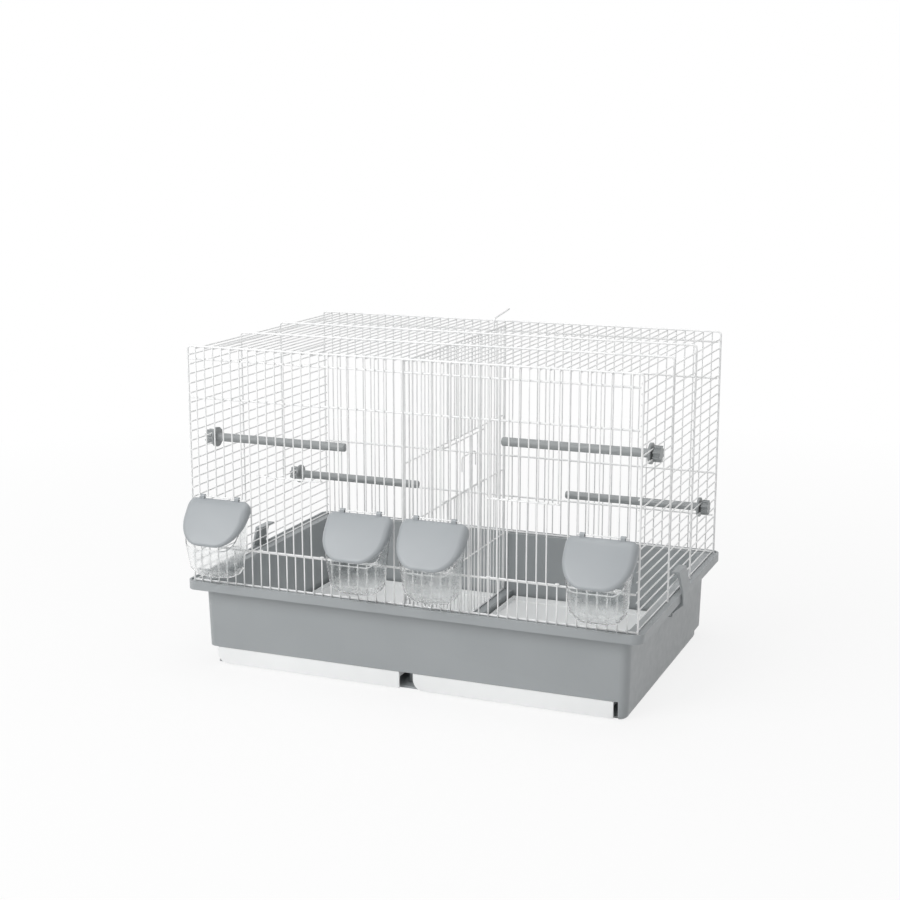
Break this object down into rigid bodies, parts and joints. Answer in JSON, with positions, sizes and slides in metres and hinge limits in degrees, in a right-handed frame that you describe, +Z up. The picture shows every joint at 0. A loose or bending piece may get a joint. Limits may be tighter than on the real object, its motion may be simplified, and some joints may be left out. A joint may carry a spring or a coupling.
{
  "type": "breeding cage",
  "caption": "Two-compartment wire breeding cage on a grey plastic base with pull-out trays, hooded seed cups, lift doors, cantilever perches and a wire divider.",
  "frame": {"origin": "middle of the base's resting face, below the middle of the wire box", "axes": "+X along the width, -Y towards the front with the feeders and doors, +Z up"},
  "size_m": [0.6226, 0.4434, 0.4423],
  "materials": {
    "white_wire": "white gloss enamel on steel wire",
    "grey_base": "moulded, semi-gloss",
    "white_tray": "moulded, semi-gloss",
    "grey_hood": "moulded, semi-gloss",
    "clear_cup": "clear moulded plastic",
    "grey_perch": "moulded, satin",
    "grey_clip": "moulded, satin",
    "steel_pin": "bright wire"
  },
  "bodies": {
    "cage": {"tub": "grey_base", "hoops": "white_wire", "side_wires_left": "white_wire", "side_wires_right": "white_wire", "roof_wires": "white_wire", "front_wires": "white_wire", "front_rails": "white_wire", "front_lintels": "white_wire", "feeder_hangers": "white_wire", "rear_wires": "white_wire", "rear_rails": "white_wire", "divider": "white_wire", "divider_tab": "white_wire", "perch_1": "grey_perch", "perch_2": "grey_perch", "perch_3": "grey_perch", "perch_4": "grey_perch", "clip_pin_left": "steel_pin", "clip_pin_right": "steel_pin"},
    "tray_left": {"tray_left": "white_tray"},
    "tray_right": {"tray_right": "white_tray"},
    "door_left": {"door_left": "white_wire"},
    "door_right": {"door_right": "white_wire"},
    "hatch": {"hatch": "white_wire", "hatch_pull": "white_wire"},
    "clip_left": {"clip_left": "grey_clip"},
    "clip_right": {"clip_right": "grey_clip"},
    "hood_1": {"hood_1": "grey_hood"},
    "cup_1": {"cup_1": "clear_cup"},
    "hood_2": {"hood_2": "grey_hood"},
    "cup_2": {"cup_2": "clear_cup"},
    "hood_3": {"hood_3": "grey_hood"},
    "cup_3": {"cup_3": "clear_cup"},
    "hood_4": {"hood_4": "grey_hood"},
    "cup_4": {"cup_4": "clear_cup"},
    "perch_knob_1": {"perch_knob_1": "grey_perch"},
    "perch_knob_2": {"perch_knob_2": "grey_perch"},
    "perch_knob_3": {"perch_knob_3": "grey_perch"},
    "perch_knob_4": {"perch_knob_4": "grey_perch"}
  },
  "joints": [
    {"name": "tray_left_slide", "type": "slide", "parent": "cage", "child": "tray_left", "axis": [0, -1, 0], "range_m": [0, 0.33]},
    {"name": "tray_right_slide", "type": "slide", "parent": "cage", "child": "tray_right", "axis": [0, -1, 0], "range_m": [0, 0.33]},
    {"name": "door_left_lift", "type": "slide", "parent": "cage", "child": "door_left", "axis": [0, 0, 1], "range_m": [0, 0.091]},
    {"name": "door_right_lift", "type": "slide", "parent": "cage", "child": "door_right", "axis": [0, 0, 1], "range_m": [0, 0.091]},
    {"name": "hatch_swing", "type": "hinge", "parent": "cage", "child": "hatch", "pos_m": [-0.00625, -0.05, 0.25], "axis": [0, 0, -1], "range_deg": [0, 85]},
    {"name": "clip_left_swing", "type": "hinge", "parent": "cage", "child": "clip_left", "pos_m": [-0.296, -0.002, 0.088], "axis": [0, -1, 0], "range_deg": [0, 60]},
    {"name": "clip_right_swing", "type": "hinge", "parent": "cage", "child": "clip_right", "pos_m": [0.296, -0.002, 0.088], "axis": [0, 1, 0], "range_deg": [0, 60]},
    {"name": "hood_1_swing", "type": "hinge", "parent": "cage", "child": "hood_1", "pos_m": [-0.25625, -0.1979, 0.23], "axis": [-1, 0, 0], "range_deg": [0, 75]},
    {"name": "cup_1_lift", "type": "slide", "parent": "cage", "child": "cup_1", "axis": [0, 0, 1], "range_m": [0, 0.004]},
    {"name": "hood_2_swing", "type": "hinge", "parent": "cage", "child": "hood_2", "pos_m": [-0.05625, -0.1979, 0.23], "axis": [-1, 0, 0], "range_deg": [0, 75]},
    {"name": "cup_2_lift", "type": "slide", "parent": "cage", "child": "cup_2", "axis": [0, 0, 1], "range_m": [0, 0.004]},
    {"name": "hood_3_swing", "type": "hinge", "parent": "cage", "child": "hood_3", "pos_m": [0.04375, -0.1979, 0.23], "axis": [-1, 0, 0], "range_deg": [0, 75]},
    {"name": "cup_3_lift", "type": "slide", "parent": "cage", "child": "cup_3", "axis": [0, 0, 1], "range_m": [0, 0.004]},
    {"name": "hood_4_swing", "type": "hinge", "parent": "cage", "child": "hood_4", "pos_m": [0.25625, -0.1979, 0.23], "axis": [-1, 0, 0], "range_deg": [0, 75]},
    {"name": "cup_4_lift", "type": "slide", "parent": "cage", "child": "cup_4", "axis": [0, 0, 1], "range_m": [0, 0.004]},
    {"name": "perch_knob_1_turn", "type": "hinge", "parent": "cage", "child": "perch_knob_1", "pos_m": [-0.303, -0.135, 0.2952], "axis": [-1, 0, 0], "continuous": true},
    {"name": "perch_knob_2_turn", "type": "hinge", "parent": "cage", "child": "perch_knob_2", "pos_m": [-0.303, 0.1, 0.196], "axis": [-1, 0, 0], "continuous": true},
    {"name": "perch_knob_3_turn", "type": "hinge", "parent": "cage", "child": "perch_knob_3", "pos_m": [0.303, -0.135, 0.32], "axis": [1, 0, 0], "continuous": true},
    {"name": "perch_knob_4_turn", "type": "hinge", "parent": "cage", "child": "perch_knob_4", "pos_m": [0.303, 0.121, 0.196], "axis": [1, 0, 0], "continuous": true}
  ]
}
